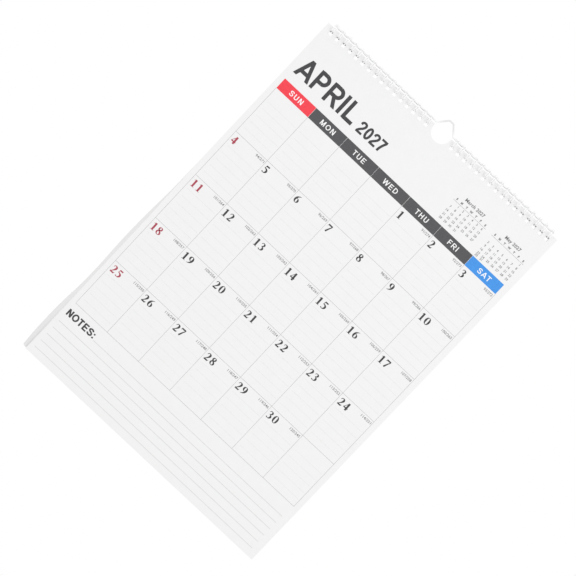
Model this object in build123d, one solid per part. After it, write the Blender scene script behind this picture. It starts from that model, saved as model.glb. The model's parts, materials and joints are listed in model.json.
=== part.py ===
from build123d import *
import math
import os

# Wall calendar: month sheets bound along the top edge by two combs of twin wire loops, and hung from a wire
# hanger that runs through the loops. +Z is up and the printed side faces -Y. The origin is the point where
# the hanger's hook sits on a nail. All sizes are in millimetres.

INCH = 25.4

# Sheets, as one stack. The month on show is its front leaf.
sheet_width = 12 * INCH
sheet_height = 17 * INCH
stack_thickness = 2.0
front_leaf = 0.4
notch_depth = 12.4
hole_height = 4.8
edge_margin = 6.0

# The sheets behind the front leaf hang askew and stick out past its left edge, up to fan_out. The profile
# of that edge is in shares: how far down the sheet, and how much of fan_out.
fan_out = 5.8
fan_lift = 2.2
fan_profile = [(0.41, 0.0), (0.61, 0.60), (0.69, 0.72), (0.77, 0.60), (0.89, 1.0)]
fan_foot = 0.96

# Binding wire, with flat sides. It is bent into twin-loop fingers, three to the inch, and each loop is a
# polygon of straight runs. A finger starts at the closure behind the sheets, passes the top, the front and
# the punched hole, and its tip ends just short of the closure. Angles are from a loop's lowest point.
pitch = INCH / 3
wire = 0.95
wire_sides = 6
loop_radius = 4.48
loop_corners = 10
finger_width = 2.6
closure_angle = 240.0
tip_angle = -104.0
wire_stub = 1.0

# Hanger: round wire with two straight arms and a hump for a hook.
hanger_wire = 1.8
hook_rise = 9.4
hook_foot = 21.2
hook_crown = 5.2
hook_bend = 2.5
arm_overhang = 0.5

# Clearances: arms in the loops, sheets on the loops, fingers in the holes, hook folded into the notch.
arm_play = 0.1
sheet_play = 0.15
hole_play = 0.15
hook_play = 0.3

# Worked out from the hook's seat downwards. The arms lie in the top of the loops, the sheets hang on the
# bottom of the loops, and their top edge is level with the loops' axis.
arm_z = hanger_wire / 2 - hook_rise
loop_inside = loop_radius * math.cos(math.pi / loop_corners) - wire / 2
loop_z = arm_z - (loop_inside - arm_play - hanger_wire / 2)
top_z = loop_z
bottom_z = top_z - sheet_height
web = math.sqrt(loop_inside ** 2 - (stack_thickness / 2) ** 2) - sheet_play
hole_width = finger_width + wire / math.cos(math.pi / wire_sides) + 2 * hole_play
notch_radius = hook_foot / 2 + hook_play

# Fingers right of the notch, by their distance from the middle. The notch takes the place of some.
first_finger = math.ceil((notch_radius + hole_width) / pitch)
last_finger = math.floor((sheet_width / 2 - edge_margin) / pitch)
finger_places = [k * pitch for k in range(first_finger, last_finger + 1)]


def loop_point(x, angle):
    """A point of the loop at x, by its angle from the loop's lowest point towards the front."""
    turn = math.radians(angle)
    return Vector(x, -loop_radius * math.sin(turn), loop_z - loop_radius * math.cos(turn))


def wire_comb():
    """The comb right of the notch: one wire that runs out and back in every finger."""
    step = 360 / loop_corners
    runs = math.floor((closure_angle - tip_angle) / step)
    angles = [closure_angle - step * i for i in range(runs + 1)] + [tip_angle]
    half = finger_width / 2
    points = [loop_point(finger_places[0] - half - wire_stub, closure_angle)]
    for x in finger_places:
        points += [loop_point(x - half, angle) for angle in angles]
        points += [loop_point(x + half, angle) for angle in reversed(angles)]
    points.append(loop_point(finger_places[-1] + half + wire_stub, closure_angle))
    outward = points[0] - Vector(points[0].X, 0, loop_z)
    start = Plane(points[0], x_dir=outward, z_dir=(1, 0, 0))
    section = RegularPolygon(wire / 2, wire_sides, major_radius=False, rotation=180 / wire_sides)
    return sweep(start * section, path=Polyline(*points), transition=Transition.RIGHT)


def hanger():
    """One round wire, straight through the loops and bent up over the notch."""
    reach = finger_places[-1] + finger_width / 2 + arm_overhang
    right = [(hook_crown / 2, arm_z + hook_rise), (hook_foot / 2, arm_z), (reach, arm_z)]
    left = [(-x, z) for x, z in reversed(right)]
    path = FilletPolyline(*[(x, 0, z) for x, z in left + right], radius=hook_bend)
    return sweep(Plane(path @ 0, z_dir=path % 0) * Circle(hanger_wire / 2), path=path)


def punched(leaf):
    """A leaf's face with its thumb notch and binding holes."""
    straight = notch_depth - notch_radius
    notch = Pos(0, top_z - straight) * Circle(notch_radius)
    notch += Pos(0, top_z - straight / 2) * Rectangle(2 * notch_radius, straight)
    hole_z = top_z - web - hole_height / 2
    places = [(side * x, hole_z) for x in finger_places for side in (-1, 1)]
    return leaf - notch - Locations(*places) * Rectangle(hole_width, hole_height)


def page_block():
    """All the sheets: the front leaf, and the leaves behind it with their wavy left edge."""
    half = sheet_width / 2
    front = Pos(0, top_z - sheet_height / 2) * Rectangle(sheet_width, sheet_height)
    edge = [(-half - fan_out * reach, top_z - sheet_height * drop) for drop, reach in fan_profile]
    edge.append((-half - fan_out * fan_foot, bottom_z + fan_lift))
    wavy = Spline(*edge, tangents=[(0, -1), (0, -1)])
    sides = Polyline(edge[-1], (half, bottom_z), (half, top_z), (-half, top_z), edge[0])
    behind = make_face(wavy + sides)
    face_plane = Plane.XZ.offset(stack_thickness / 2 - front_leaf)
    block = extrude(face_plane * punched(front), front_leaf)
    block += extrude(face_plane * punched(behind), front_leaf - stack_thickness)
    return block


if __name__ == "__main__":
    comb = wire_comb()
    pieces = {
        "hanger": hanger(),
        "left_wire_comb": mirror(comb, about=Plane.YZ),
        "right_wire_comb": comb,
        "page_block": page_block(),
    }
    os.makedirs("parts", exist_ok=True)
    for name, piece in pieces.items():
        export_step(piece, f"parts/{name}.step")
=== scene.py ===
"""Looks of the wall calendar: its month sheets, their print, the wire binding and the hanger."""

import calendar
import datetime
import json
import math

import bmesh
import bpy
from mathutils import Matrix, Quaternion, Vector
from mathutils.geometry import delaunay_2d_cdt


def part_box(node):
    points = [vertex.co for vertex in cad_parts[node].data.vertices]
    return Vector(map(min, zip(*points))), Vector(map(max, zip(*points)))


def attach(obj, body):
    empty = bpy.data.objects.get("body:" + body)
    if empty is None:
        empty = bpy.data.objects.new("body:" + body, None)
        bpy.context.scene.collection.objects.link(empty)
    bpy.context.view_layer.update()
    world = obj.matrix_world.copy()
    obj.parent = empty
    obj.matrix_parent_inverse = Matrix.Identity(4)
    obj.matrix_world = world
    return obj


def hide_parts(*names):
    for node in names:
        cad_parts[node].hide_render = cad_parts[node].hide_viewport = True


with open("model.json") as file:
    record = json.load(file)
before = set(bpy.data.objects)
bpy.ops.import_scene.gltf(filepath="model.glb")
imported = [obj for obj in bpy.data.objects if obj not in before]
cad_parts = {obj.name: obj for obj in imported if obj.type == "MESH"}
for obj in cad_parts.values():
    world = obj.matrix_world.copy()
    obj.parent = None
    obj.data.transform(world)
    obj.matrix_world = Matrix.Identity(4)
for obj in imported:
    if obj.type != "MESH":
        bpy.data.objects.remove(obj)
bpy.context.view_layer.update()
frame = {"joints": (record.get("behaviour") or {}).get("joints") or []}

bl_info = {
    "name": "Wall Calendar",
    "version": (1, 0, 0),
    "blender": (4, 5, 0),
    "location": "3D View > Sidebar > Calendar",
    "description": "Builds a wall calendar: sheets, print, wire binding and hanger",
    "category": "Add Mesh",
}

MM = 0.001
WEEKDAYS = 7

# What the CAD part gives: the sheets' box, the loops' axis and the hanger's arms.
page_low, page_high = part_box("page_block")
comb_low, comb_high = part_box("right_wire_comb")
_, hanger_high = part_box("hanger")
joint_heights = {joint["name"]: joint["pos_m"][2] for joint in frame["joints"]}
LOOP_AXIS_Z = joint_heights["page_turn"]
ARM_Z = joint_heights["hanger_fold"]
SHEET_WIDTH = 2 * page_high.x
SHEET_HEIGHT = page_high.z - page_low.z
SHEET_TOP = page_high.z
SHEET_BOTTOM = page_low.z
SHEET_LEFT = -page_high.x
FACE_Y = page_low.y
BACK_Y = page_high.y

# How the leaves behind stick out past the left edge: share of the way down the sheet, share of the most
# that they stick out.
FAN_PROFILE = [
    (0.0, 0.0), (0.43, 0.0), (0.61, 0.52), (0.67, 0.60), (0.76, 0.42), (0.87, 0.90), (0.93, 1.0), (1.0, 0.78)]


def arc_steps(start, end, count):
    """Angles from start to end, both included, given in degrees and returned in radians."""
    return [math.radians(start + (end - start) * i / count) for i in range(count + 1)]


def bow(x, y, across, up, start, end):
    """Points of an elliptical bow round (x, y), from one angle to another in degrees. They are rounded, so
    that a whole turn ends exactly where it starts."""
    steps = 12
    points = [(x + across * math.cos(turn), y + up * math.sin(turn)) for turn in arc_steps(start, end, steps)]
    return [(round(x, 6), round(y, 6)) for x, y in points]


# The bold sans letters and figures, as pen strokes of one width in a box one unit tall. Each has its width
# and its strokes. A stroke through two points (across, up) is straight, and one through more is a smooth
# line. A nine is a six turned upside down.
STEM = [(0.17, 0.0), (0.17, 1.0)]
SIX = [(0.54, 0.74), (0.47, 0.88), (0.35, 0.92), (0.21, 0.81), (0.165, 0.50), (0.20, 0.19), (0.35, 0.08),
       (0.50, 0.16), (0.545, 0.32), (0.48, 0.51), (0.36, 0.57), (0.22, 0.49), (0.17, 0.38)]
SANS_STROKES = {
    "A": (0.87, [[(0.09, 0.0), (0.435, 1.0)], [(0.78, 0.0), (0.435, 1.0)], [(0.20, 0.30), (0.67, 0.30)]]),
    "B": (0.82, [STEM, [(0.17, 0.92), (0.42, 0.92)], [(0.17, 0.52), (0.42, 0.52)],
                 [(0.17, 0.08), (0.42, 0.08)], bow(0.42, 0.72, 0.19, 0.20, 90, -90),
                 bow(0.42, 0.30, 0.235, 0.22, 90, -90)]),
    "C": (0.86, [bow(0.46, 0.50, 0.33, 0.42, 40, 320)]),
    "D": (0.86, [STEM, [(0.17, 0.92), (0.38, 0.92)], [(0.17, 0.08), (0.38, 0.08)],
                 bow(0.38, 0.50, 0.33, 0.42, 90, -90)]),
    "E": (0.77, [STEM, [(0.17, 0.92), (0.70, 0.92)], [(0.17, 0.51), (0.66, 0.51)],
                 [(0.17, 0.08), (0.70, 0.08)]]),
    "F": (0.70, [STEM, [(0.17, 0.92), (0.67, 0.92)], [(0.17, 0.49), (0.60, 0.49)]]),
    "G": (0.90, [bow(0.46, 0.50, 0.33, 0.42, 40, 325), [(0.48, 0.46), (0.83, 0.46)],
                 [(0.745, 0.46), (0.745, 0.16)]]),
    "H": (0.84, [STEM, [(0.67, 0.0), (0.67, 1.0)], [(0.17, 0.53), (0.67, 0.53)]]),
    "I": (0.33, [STEM]),
    "J": (0.63, [[(0.46, 0.28), (0.46, 1.0)], bow(0.285, 0.29, 0.175, 0.21, 0, -180)]),
    "L": (0.72, [STEM, [(0.17, 0.08), (0.70, 0.08)]]),
    "M": (0.98, [STEM, [(0.81, 0.0), (0.81, 1.0)], [(0.20, 1.0), (0.49, 0.0)], [(0.78, 1.0), (0.49, 0.0)]]),
    "N": (0.84, [STEM, [(0.67, 0.0), (0.67, 1.0)], [(0.19, 1.0), (0.65, 0.0)]]),
    "O": (0.90, [bow(0.45, 0.50, 0.33, 0.42, 0, 360)]),
    "P": (0.80, [STEM, [(0.17, 0.92), (0.44, 0.92)], [(0.17, 0.46), (0.44, 0.46)],
                 bow(0.44, 0.69, 0.225, 0.23, 90, -90)]),
    "R": (0.85, [STEM, [(0.17, 0.92), (0.50, 0.92)], [(0.17, 0.48), (0.50, 0.48)],
                 bow(0.50, 0.70, 0.22, 0.22, 90, -90), [(0.45, 0.47), (0.74, 0.0)]]),
    "S": (0.78, [[(0.67, 0.73), (0.58, 0.87), (0.39, 0.92), (0.20, 0.86), (0.15, 0.73), (0.23, 0.60),
                  (0.40, 0.53), (0.58, 0.45), (0.66, 0.29), (0.58, 0.13), (0.39, 0.08), (0.19, 0.14),
                  (0.11, 0.30)]]),
    "T": (0.71, [[(0.03, 0.92), (0.68, 0.92)], [(0.355, 0.0), (0.355, 1.0)]]),
    "U": (0.84, [[(0.17, 0.32), (0.17, 1.0)], [(0.67, 0.32), (0.67, 1.0)],
                 bow(0.42, 0.33, 0.25, 0.25, 180, 360)]),
    "V": (0.77, [[(0.09, 1.0), (0.385, 0.0)], [(0.68, 1.0), (0.385, 0.0)]]),
    "W": (1.07, [[(0.08, 1.0), (0.29, 0.0)], [(0.535, 1.0), (0.29, 0.0)],
                 [(0.535, 1.0), (0.78, 0.0)], [(0.99, 1.0), (0.78, 0.0)]]),
    "Y": (0.77, [[(0.09, 1.0), (0.385, 0.40)], [(0.68, 1.0), (0.385, 0.40)], [(0.385, 0.0), (0.385, 0.44)]]),
    ":": (0.38, [[(0.19, 0.0), (0.19, 0.21)], [(0.19, 0.52), (0.19, 0.73)]]),
    "0": (0.66, [bow(0.35, 0.50, 0.18, 0.42, 0, 360)]),
    "1": (0.66, [[(0.40, 0.0), (0.40, 1.0)], [(0.14, 0.74), (0.27, 0.79), (0.40, 0.95)]]),
    "2": (0.66, [[(0.155, 0.68), (0.19, 0.84), (0.34, 0.92), (0.50, 0.85), (0.53, 0.69), (0.44, 0.50),
                  (0.27, 0.30), (0.16, 0.12)], [(0.08, 0.08), (0.62, 0.08)]]),
    "3": (0.66, [[(0.15, 0.72), (0.20, 0.87), (0.34, 0.92), (0.48, 0.85), (0.50, 0.70), (0.43, 0.58),
                  (0.29, 0.535)],
                 [(0.29, 0.535), (0.46, 0.48), (0.53, 0.30), (0.48, 0.14), (0.34, 0.08), (0.19, 0.14),
                  (0.14, 0.29)]]),
    "4": (0.66, [[(0.43, 1.0), (0.12, 0.30)], [(0.05, 0.30), (0.65, 0.30)], [(0.47, 0.0), (0.47, 1.0)]]),
    "5": (0.66, [[(0.18, 0.92), (0.58, 0.92)], [(0.23, 0.98), (0.17, 0.46)],
                 [(0.17, 0.50), (0.34, 0.58), (0.49, 0.50), (0.53, 0.32), (0.47, 0.14), (0.33, 0.08),
                  (0.19, 0.14), (0.14, 0.27)]]),
    "6": (0.66, [SIX]),
    "7": (0.66, [[(0.08, 0.92), (0.59, 0.92)], [(0.53, 0.90), (0.40, 0.60), (0.31, 0.30), (0.27, 0.0)]]),
    "8": (0.66, [bow(0.35, 0.73, 0.16, 0.19, 0, 360), bow(0.35, 0.30, 0.19, 0.22, 0, 360)]),
    "9": (0.66, [[(0.70 - x, 1.0 - y) for x, y in SIX]]),
}

# The bold serif numerals, as pen strokes in a box one unit tall. Each point is (across, up, pen width), and
# a stroke that ends where it starts is closed. A nine is a six turned upside down.
NUMERAL_STROKES = {
    "0": [
        [(0.30, 0.97, 0.05), (0.45, 0.83, 0.13), (0.50, 0.50, 0.19), (0.45, 0.17, 0.13), (0.30, 0.03, 0.05),
         (0.15, 0.17, 0.13), (0.10, 0.50, 0.19), (0.15, 0.83, 0.13), (0.30, 0.97, 0.05)],
    ],
    "1": [
        [(0.32, 1.00, 0.19), (0.32, 0.02, 0.19)],
        [(0.10, 0.02, 0.04), (0.54, 0.02, 0.04)],
        [(0.10, 0.83, 0.04), (0.22, 0.89, 0.07), (0.32, 0.96, 0.08)],
    ],
    "2": [
        [(0.09, 0.73, 0.05), (0.15, 0.89, 0.07), (0.28, 0.95, 0.09), (0.41, 0.87, 0.17), (0.44, 0.70, 0.20),
         (0.36, 0.48, 0.14), (0.21, 0.25, 0.08), (0.06, 0.05, 0.05)],
        [(0.05, 0.08, 0.16), (0.47, 0.08, 0.16)],
        [(0.46, 0.04, 0.06), (0.54, 0.24, 0.03)],
    ],
    "3": [
        [(0.07, 0.77, 0.04), (0.14, 0.91, 0.07), (0.27, 0.96, 0.08), (0.39, 0.87, 0.16), (0.41, 0.74, 0.17),
         (0.34, 0.61, 0.10), (0.20, 0.54, 0.04)],
        [(0.20, 0.54, 0.04), (0.37, 0.48, 0.12), (0.45, 0.30, 0.20), (0.38, 0.10, 0.13), (0.24, 0.03, 0.06),
         (0.13, 0.06, 0.10), (0.06, 0.12, 0.11)],
    ],
    "4": [
        [(0.37, 0.96, 0.06), (0.06, 0.31, 0.05)],
        [(0.03, 0.29, 0.14), (0.57, 0.29, 0.14)],
        [(0.40, 1.00, 0.19), (0.40, 0.00, 0.19)],
    ],
    "5": [
        [(0.15, 0.90, 0.16), (0.52, 0.90, 0.16)],
        [(0.17, 0.95, 0.06), (0.11, 0.57, 0.05)],
        [(0.09, 0.59, 0.07), (0.26, 0.58, 0.12), (0.42, 0.46, 0.18), (0.45, 0.28, 0.19), (0.36, 0.10, 0.13),
         (0.22, 0.03, 0.06), (0.12, 0.06, 0.10), (0.05, 0.12, 0.11)],
    ],
    "6": [
        [(0.54, 0.98, 0.04), (0.35, 0.88, 0.09), (0.18, 0.66, 0.17), (0.12, 0.36, 0.19), (0.17, 0.12, 0.12),
         (0.30, 0.03, 0.05)],
        [(0.30, 0.03, 0.05), (0.44, 0.13, 0.13), (0.48, 0.30, 0.18), (0.43, 0.48, 0.13), (0.31, 0.57, 0.06),
         (0.16, 0.50, 0.04)],
    ],
    "7": [
        [(0.05, 0.91, 0.17), (0.55, 0.91, 0.17)],
        [(0.08, 0.95, 0.06), (0.03, 0.72, 0.03)],
        [(0.52, 0.86, 0.08), (0.37, 0.52, 0.12), (0.19, 0.00, 0.17)],
    ],
    "8": [
        [(0.30, 0.97, 0.06), (0.42, 0.89, 0.12), (0.44, 0.75, 0.15), (0.36, 0.62, 0.13), (0.24, 0.55, 0.11),
         (0.12, 0.40, 0.14), (0.11, 0.23, 0.15), (0.18, 0.09, 0.11), (0.30, 0.03, 0.06), (0.44, 0.10, 0.12),
         (0.48, 0.26, 0.17), (0.40, 0.42, 0.16), (0.26, 0.54, 0.14), (0.16, 0.65, 0.15), (0.14, 0.78, 0.15),
         (0.19, 0.91, 0.11), (0.30, 0.97, 0.06)],
    ],
}
NUMERAL_STROKES["9"] = [[(0.60 - x, 1.0 - y, width) for x, y, width in pen] for pen in NUMERAL_STROKES["6"]]

# Ink that crosses other ink is laid in layers. Each stands above the one before by this share of the ink's
# thickness, so no two of their faces lie in one plane.
LAYER_RISE = 1 / 6


def linear(hex_value):
    """An sRGB hex colour as linear RGBA, which is what Blender's sockets and properties take."""
    channels = [int(hex_value[i:i + 2], 16) / 255 for i in (1, 3, 5)]
    return [c / 12.92 if c <= 0.04045 else ((c + 0.055) / 1.055) ** 2.4 for c in channels] + [1.0]


def length(name, description, millimetres):
    """A length that a user can change, given in millimetres."""
    return bpy.props.FloatProperty(
        name=name, description=description, default=millimetres * MM, unit="LENGTH", precision=5)


def colour(name, description, hex_value):
    """A colour that a user can change, given as sRGB hex."""
    return bpy.props.FloatVectorProperty(
        name=name, description=description, default=linear(hex_value), subtype="COLOR", size=4, min=0, max=1)


class CalendarSheetSettings(bpy.types.PropertyGroup):
    """Sizes and colours of the paper sheets, and the way they hang."""

    leaf_thickness: length("Leaf thickness", "Thickness of one paper leaf", 0.11)
    leaf_count: bpy.props.IntProperty(
        name="Leaves behind", description="Number of leaves behind the month on show", default=13, min=2)
    mesh_step: length("Bend step", "Spacing of the points that let a leaf bend", 13.0)
    hole_width: length("Hole width", "Width of a binding hole", 3.8)
    hole_height: length("Hole height", "Height of a binding hole", 4.4)
    hole_web: length("Web", "Paper between the top edge and a hole", 3.8)
    notch_width: length("Notch width", "Width of the thumb notch under the hook", 21.8)
    notch_depth: length("Notch depth", "Depth of the thumb notch", 12.4)
    fan_out: length("Fan", "How far the leaves behind stick out past the left edge", 4.3)
    curl_height: length("Corner curl", "How far the lower left corner stands off the stack", 1.0)
    curl_reach: length("Curl reach", "How far along the edges the corner curl starts", 95.0)
    draw_in: length("Draw-in", "How far the month sheet's bent left border is drawn in over the fan", 1.2)
    border: length("Bent border", "Width of the month sheet's bent left border", 30.0)
    askew_lift: length("Askew lift", "How far a leaf that hangs askew rises at its lower left corner", 2.0)
    paper: colour("Paper", "Colour of the month sheet's paper", "#F2F2F2")
    # The leaves behind are painted greyer than the month sheet, as painted shade for the front sheet's shade
    # on them.
    paper_behind: colour("Paper behind", "Colour of the leaves behind, which lie in the shade", "#E7E7E7")


class CalendarWireSettings(bpy.types.PropertyGroup):
    """Sizes and colours of the binding wire and the hanger."""

    pitch: length("Pitch", "Spacing of the binding fingers", 25.4 / 3)
    first_finger: bpy.props.IntProperty(
        name="First finger", description="First finger beside the notch, counted from the middle", default=2)
    last_finger: bpy.props.IntProperty(
        name="Last finger", description="Last finger, counted from the middle", default=17)
    loop_radius: length("Loop radius", "Radius of a loop from front to back, at the middle of the wire", 4.5)
    loop_half: length("Loop half height", "Half the height of a loop, at the middle of the wire", 4.9)
    finger_width: length("Finger width", "Distance between a finger's two wires", 2.0)
    bend_radius: length("Bend radius", "Radius of the bend between a finger and the closure", 0.85)
    wire: length("Binding wire", "Diameter of the coated binding wire", 1.0)
    hanger_wire: length("Hanger wire", "Diameter of the coated hanger wire", 1.8)
    hook_foot: length("Hook foot", "Distance between the feet of the hook", 21.2)
    hook_crown: length("Hook crown", "Width of the hook at its crown", 5.2)
    hook_bend: length("Hook bend", "Radius of the hook's bends", 2.5)
    loop_coat: colour("Loop coat", "Colour of the loops' nylon coat", "#FEFEFE")
    hanger_coat: colour("Hanger coat", "Colour of the hanger's lacquer", "#FBFBFC")


class CalendarPrintSettings(bpy.types.PropertyGroup):
    """The month that is shown, the places of the print on the sheet and the inks."""

    year: bpy.props.IntProperty(name="Year", description="Year of the month on show", default=2027)
    month: bpy.props.IntProperty(
        name="Month", description="Number of the month on show", default=4, min=1, max=12)
    ink_thickness: length("Ink thickness", "How far the ink stands off the paper", 0.03)
    askew: bpy.props.FloatProperty(
        name="Askew", description="Turn of the print on the trimmed sheet", default=0.0032, subtype="ANGLE")
    grid_left: length("Grid left", "Left line of the month grid from the left edge", 6.5)
    column: length("Column", "Width of a day's column", 41.66)
    bar_top: length("Bar top", "Top of the weekday bar from the top edge", 67.1)
    bar_height: length("Bar height", "Height of the weekday bar", 12.3)
    bar_gap: length("Bar gap", "Paper left between two fields of the weekday bar", 0.22)
    row: length("Row", "Height of a week's row", 57.18)
    grid_line: length("Grid line", "Width of the grid lines", 0.32)
    cell_rule: length("Cell rule", "Width of the writing rules in a day's cell", 0.3)
    note_rule: length("Note rule", "Width of the writing rules under the grid", 0.6)
    dark_ink: colour("Dark ink", "Ink of the title and the day numbers", "#474749")
    bar_ink: colour("Bar ink", "Ink of the weekday bar from Monday to Friday", "#58585A")
    sunday_ink: colour("Sunday ink", "Ink of the Sunday field", "#F54955")
    number_red: colour("Sunday number ink", "Ink of the Sunday numbers", "#B04C5C")
    saturday_ink: colour("Saturday ink", "Ink of the Saturday field", "#4A98E8")
    grid_ink: colour("Grid ink", "Ink of the grid lines", "#B4B4B4")
    cell_ink: colour("Cell rule ink", "Ink of the writing rules in the cells", "#E6E6E6")
    note_ink: colour("Note rule ink", "Ink of the lines for notes", "#DADADA")
    small_ink: colour("Small print ink", "Ink of the small months and day counts", "#8C8C8E")


def add_node(tree, kind, sockets=None, **settings):
    """Adds a node with its settings. An input is linked if it is given a socket, and set otherwise."""
    node = tree.nodes.new(kind)
    for name, value in settings.items():
        setattr(node, name, value)
    for name, value in (sockets or {}).items():
        if isinstance(value, bpy.types.NodeSocket):
            tree.links.new(value, node.inputs[name])
        else:
            node.inputs[name].default_value = value
    return node


def new_material(name):
    """An empty node material, with its tree and Principled shader."""
    material = bpy.data.materials.new(name)
    material.use_nodes = True
    tree = material.node_tree
    tree.nodes.clear()
    shader = add_node(tree, "ShaderNodeBsdfPrincipled")
    add_node(tree, "ShaderNodeOutputMaterial", {"Surface": shader.outputs["BSDF"]})
    return material, tree, shader


def shaded(base, share):
    """A linear colour made lighter or darker by a share of itself."""
    return [min(1.0, channel * share) for channel in base[:3]] + [1.0]


def uncoated_paper(name, base):
    """Uncoated offset paper: matt, a little cloudy where the fibres clump, with a fine tooth."""
    material, tree, shader = new_material(name)
    cloud_size = 11 * MM
    tooth_size = 0.9 * MM  # real fibres are finer, and drawn this coarse to show
    place = add_node(tree, "ShaderNodeTexCoord").outputs["Object"]
    cloud = add_node(tree, "ShaderNodeTexNoise", {"Vector": place, "Scale": 1 / cloud_size, "Detail": 4.0})
    tint = add_node(tree, "ShaderNodeValToRGB", {"Fac": cloud.outputs["Fac"]})
    tint.color_ramp.elements[0].position = 0.3
    tint.color_ramp.elements[0].color = shaded(base, 0.992)
    tint.color_ramp.elements[1].position = 0.7
    tint.color_ramp.elements[1].color = shaded(base, 1.006)
    tooth = add_node(tree, "ShaderNodeTexNoise", {"Vector": place, "Scale": 1 / tooth_size, "Detail": 5.0})
    bump = add_node(tree, "ShaderNodeBump", {
        "Height": tooth.outputs["Fac"], "Strength": 0.25, "Distance": 0.03 * MM})
    tree.links.new(tint.outputs["Color"], shader.inputs["Base Color"])
    tree.links.new(bump.outputs["Normal"], shader.inputs["Normal"])
    shader.inputs["Roughness"].default_value = 0.9
    shader.inputs["Specular IOR Level"].default_value = 0.2
    return material


def offset_ink(name, base):
    """Offset ink on uncoated paper: matt to satin, and slightly mottled where the paper drinks it."""
    material, tree, shader = new_material(name)
    mottle_size = 1.4 * MM
    place = add_node(tree, "ShaderNodeTexCoord").outputs["Object"]
    mottle = add_node(tree, "ShaderNodeTexNoise", {"Vector": place, "Scale": 1 / mottle_size, "Detail": 3.0})
    tint = add_node(tree, "ShaderNodeValToRGB", {"Fac": mottle.outputs["Fac"]})
    tint.color_ramp.elements[0].position = 0.3
    tint.color_ramp.elements[0].color = shaded(base, 0.92)
    tint.color_ramp.elements[1].position = 0.7
    tint.color_ramp.elements[1].color = shaded(base, 1.08)
    finish = add_node(tree, "ShaderNodeMapRange", {
        "Value": mottle.outputs["Fac"], "To Min": 0.55, "To Max": 0.7})
    tree.links.new(tint.outputs["Color"], shader.inputs["Base Color"])
    tree.links.new(finish.outputs["Result"], shader.inputs["Roughness"])
    shader.inputs["Specular IOR Level"].default_value = 0.25
    return material


def coated_wire(name, base, painted_shade_below=None, shade_band_at=None, shade_band_reach=0.8 * MM):
    """Steel wire in a dipped coat: smooth and glossy, so its edges mirror the room, with a slight ripple.
    Below one height, where the wire goes into the holes, the coat is painted dark as painted shade, most of
    all near the ends of the binding. Round another height the coat is painted light grey, a band of painted
    shade."""
    material, tree, shader = new_material(name)
    # Dark painted shade for the wire where it goes into the holes.
    painted_shade_colour = linear("#2E2E30")
    shade_fade = 0.4 * MM
    middle_half = 70 * MM
    middle_shade = 0.25
    ends_from = 115 * MM
    # Light grey painted shade for a band round one height.
    band_shade_colour = linear("#E7E7E8")
    ripple_size = 1.6 * MM
    first_place, second_place, mixed_place = 6, 7, 2  # the colours' places among a Mix node's sockets
    place = add_node(tree, "ShaderNodeTexCoord").outputs["Object"]
    ripple = add_node(tree, "ShaderNodeTexNoise", {"Vector": place, "Scale": 1 / ripple_size, "Detail": 2.0})
    tint = add_node(tree, "ShaderNodeValToRGB", {"Fac": ripple.outputs["Fac"]})
    tint.color_ramp.elements[0].color = shaded(base, 0.97)
    tint.color_ramp.elements[1].color = shaded(base, 1.02)
    coat = tint.outputs["Color"]
    axes = add_node(tree, "ShaderNodeSeparateXYZ", {"Vector": place})
    # Painted shade: a light grey band round one height, fading out at the band's reach.
    if shade_band_at is not None:
        above = add_node(tree, "ShaderNodeMath", {0: axes.outputs["Z"], 1: shade_band_at}, operation="SUBTRACT")
        away = add_node(tree, "ShaderNodeMath", {0: above.outputs[0]}, operation="ABSOLUTE")
        band_shade_mask = add_node(tree, "ShaderNodeMapRange", {
            "Value": away.outputs[0], "From Min": shade_band_reach, "From Max": shade_band_reach / 2})
        mixed = add_node(tree, "ShaderNodeMix", {
            "Factor": band_shade_mask.outputs["Result"], first_place: coat, second_place: band_shade_colour}, data_type="RGBA")
        coat = mixed.outputs[mixed_place]
    # Painted shade: the coat is painted dark below a height, where the wire dips into the holes, and darker
    # near the ends of the binding than in the middle.
    if painted_shade_below is not None:
        from_middle = add_node(tree, "ShaderNodeMath", {0: axes.outputs["X"]}, operation="ABSOLUTE")
        end_shade = add_node(tree, "ShaderNodeMapRange", {
            "Value": from_middle.outputs[0], "From Min": middle_half, "From Max": ends_from,
            "To Min": middle_shade})
        painted_shade_mask = add_node(tree, "ShaderNodeMapRange", {
            "Value": axes.outputs["Z"], "From Min": painted_shade_below, "From Max": painted_shade_below - shade_fade,
            "To Max": end_shade.outputs["Result"]})
        mixed = add_node(tree, "ShaderNodeMix", {
            "Factor": painted_shade_mask.outputs["Result"], first_place: coat, second_place: painted_shade_colour}, data_type="RGBA")
        coat = mixed.outputs[mixed_place]
    finish = add_node(tree, "ShaderNodeMapRange", {
        "Value": ripple.outputs["Fac"], "To Min": 0.16, "To Max": 0.26})
    bump = add_node(tree, "ShaderNodeBump", {
        "Height": ripple.outputs["Fac"], "Strength": 0.3, "Distance": 0.05 * MM})
    tree.links.new(coat, shader.inputs["Base Color"])
    tree.links.new(finish.outputs["Result"], shader.inputs["Roughness"])
    tree.links.new(bump.outputs["Normal"], shader.inputs["Normal"])
    shader.inputs["IOR"].default_value = 1.53
    return material


def new_node_tree(name, inputs):
    """A Geometry Nodes tree with geometry in and out and the named inputs. Returns it with its inputs'
    sockets."""
    tree = bpy.data.node_groups.new(name, "GeometryNodeTree")
    tree.interface.new_socket("Geometry", in_out="INPUT", socket_type="NodeSocketGeometry")
    tree.interface.new_socket("Geometry", in_out="OUTPUT", socket_type="NodeSocketGeometry")
    for input_name, kind in inputs.items():
        tree.interface.new_socket(input_name, in_out="INPUT", socket_type="NodeSocket" + kind)
    return tree, add_node(tree, "NodeGroupInput").outputs


def finish_node_tree(tree, geometry, material):
    """Ends a tree: its instances are made real and get their material."""
    real = add_node(tree, "GeometryNodeRealizeInstances", {"Geometry": geometry})
    painted = add_node(tree, "GeometryNodeSetMaterial", {
        "Geometry": real.outputs["Geometry"], "Material": material})
    add_node(tree, "NodeGroupOutput", {"Geometry": painted.outputs["Geometry"]})
    return tree


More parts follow.
